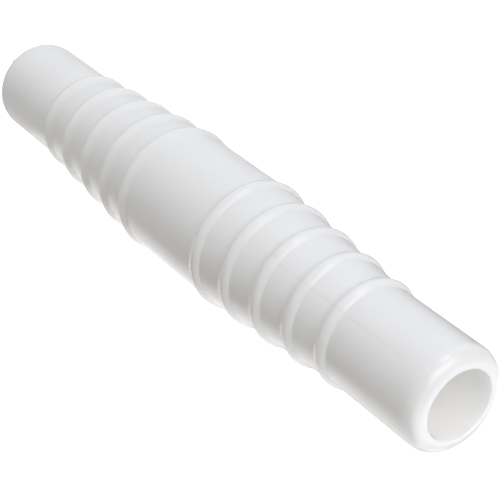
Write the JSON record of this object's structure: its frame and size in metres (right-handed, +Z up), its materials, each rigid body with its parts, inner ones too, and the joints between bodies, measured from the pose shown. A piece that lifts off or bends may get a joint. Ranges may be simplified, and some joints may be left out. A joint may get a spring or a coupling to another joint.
{
  "type": "pool hose connector",
  "caption": "Straight double-ended hose connector: a hollow white plastic tube with a plain middle barrel, stepped sealing rings and smooth cuffs for two hose sizes.",
  "frame": {"origin": "centre of the lower end face, on the surface that the connector stands on", "axes": "+Z up the bore from the lower end to the upper end; the mould parting line runs along the -Y and +Y sides"},
  "size_m": [0.0398, 0.0398, 0.2144],
  "materials": {
    "white_plastic": "moulded white plastic with a soft gloss"
  },
  "bodies": {
    "root": {"hose_connector": "white_plastic"}
  },
  "joints": []
}
